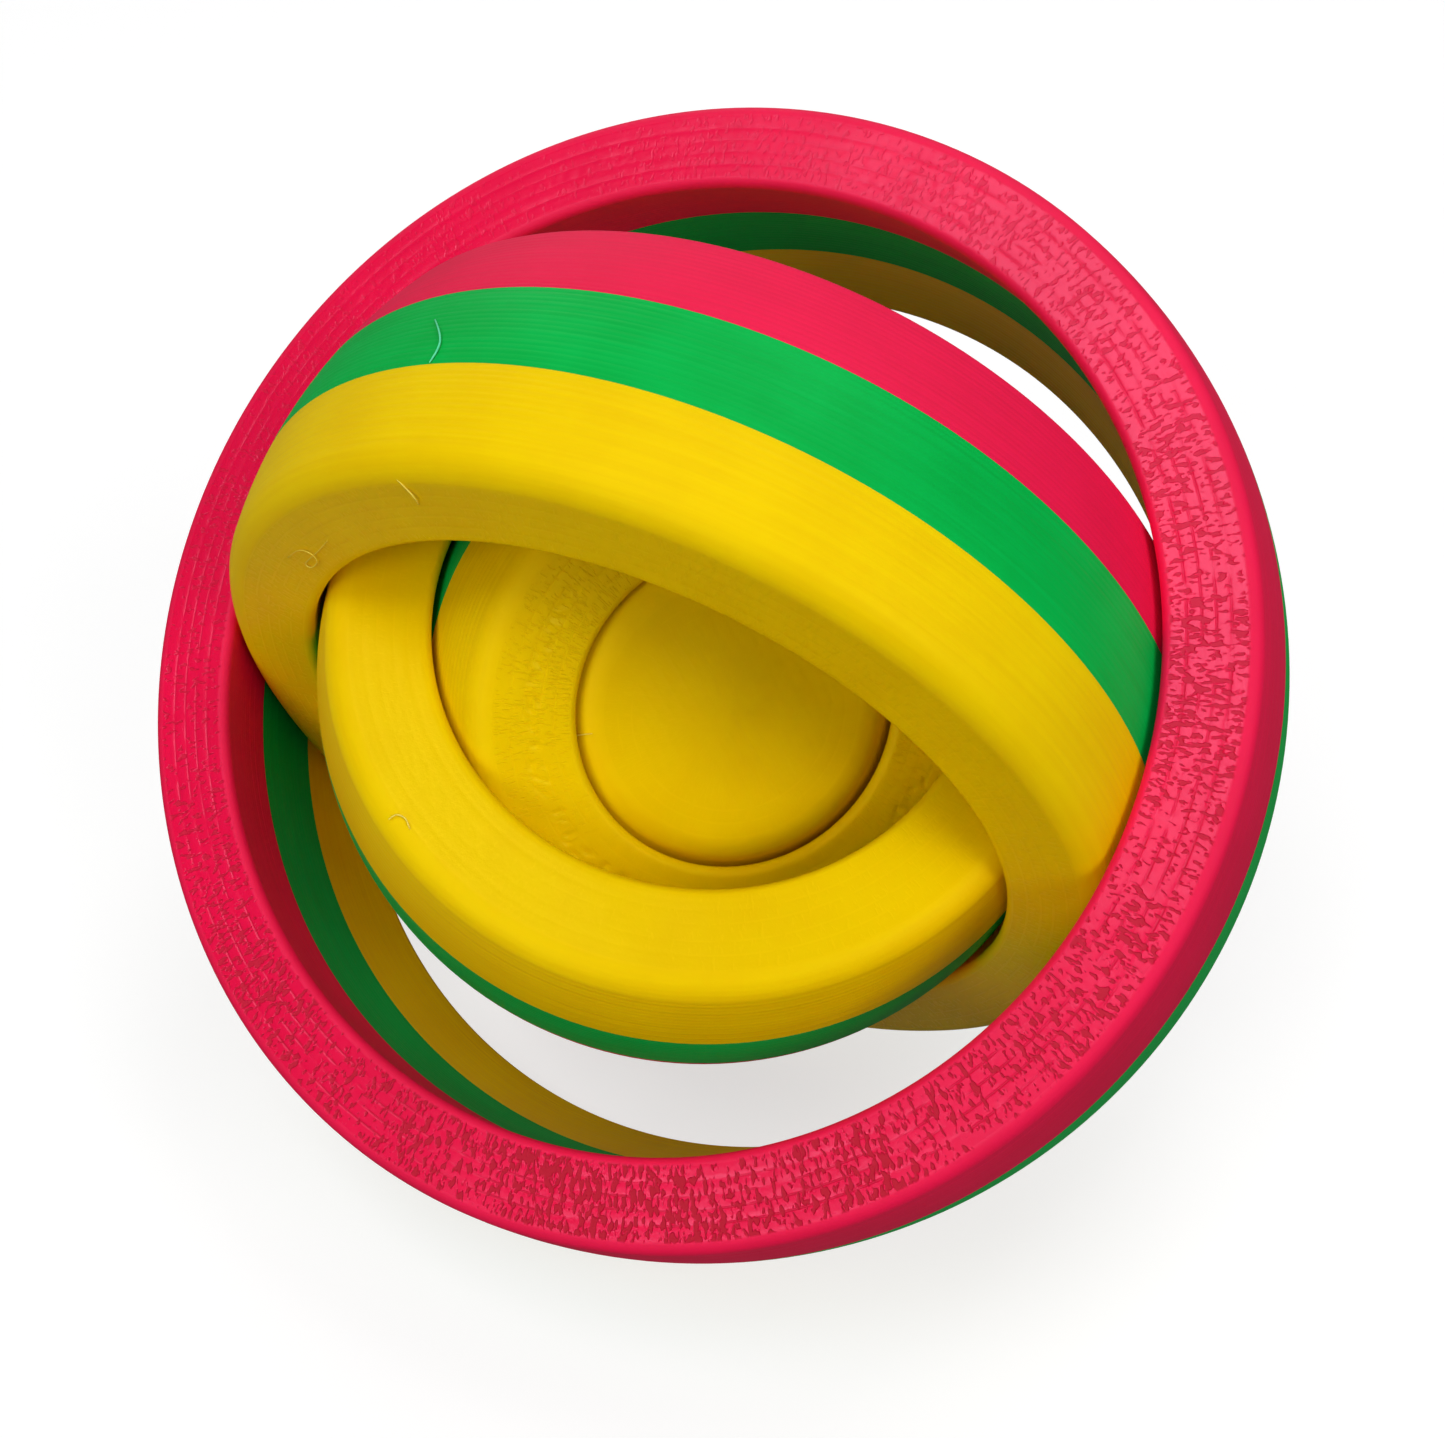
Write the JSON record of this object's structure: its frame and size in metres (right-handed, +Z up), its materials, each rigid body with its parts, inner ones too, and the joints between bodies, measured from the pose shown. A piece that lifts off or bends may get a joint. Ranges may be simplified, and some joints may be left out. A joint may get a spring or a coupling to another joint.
{
  "type": "nested ring gyroscope",
  "caption": "Printed gyroscope fidget toy: spherical rings nested round a solid disc, each turning freely inside the next, in red, green and yellow bands.",
  "frame": {"origin": "common centre that every ring turns about", "axes": "+Z up from the surface the toy stands on; +X along the line where the planes of the outer and the second ring cross"},
  "size_m": [0.04, 0.0349, 0.0338],
  "materials": {
    "red_plastic": "satin printed PLA",
    "green_plastic": "satin printed PLA",
    "yellow_plastic": "satin printed PLA"
  },
  "bodies": {
    "outer_ring": {"outer_ring_yellow_band": "yellow_plastic", "outer_ring_green_band": "green_plastic", "outer_ring_red_band": "red_plastic"},
    "second_ring": {"second_ring_yellow_band": "yellow_plastic", "second_ring_green_band": "green_plastic", "second_ring_red_band": "red_plastic"},
    "third_ring": {"third_ring_yellow_band": "yellow_plastic", "third_ring_green_band": "green_plastic", "third_ring_red_band": "red_plastic"},
    "fourth_ring": {"fourth_ring_yellow_band": "yellow_plastic", "fourth_ring_green_band": "green_plastic", "fourth_ring_red_band": "red_plastic"},
    "core_disc": {"core_disc_yellow_band": "yellow_plastic", "core_disc_green_band": "green_plastic", "core_disc_red_band": "red_plastic"}
  },
  "joints": [
    {"name": "second_ring_turn", "type": "hinge", "parent": "outer_ring", "child": "second_ring", "pos_m": [0, 0, 0], "axis": [1, 0, 0], "continuous": true},
    {"name": "third_ring_turn", "type": "hinge", "parent": "second_ring", "child": "third_ring", "pos_m": [0, 0, 0], "axis": [0.9598, 0.0872, -0.2668], "continuous": true},
    {"name": "fourth_ring_turn", "type": "hinge", "parent": "third_ring", "child": "fourth_ring", "pos_m": [0, 0, 0], "axis": [0.7124, 0.6929, 0.1114], "continuous": true},
    {"name": "core_disc_turn", "type": "hinge", "parent": "fourth_ring", "child": "core_disc", "pos_m": [0, 0, 0], "axis": [0.0801, -0.4418, -0.8935], "continuous": true}
  ]
}
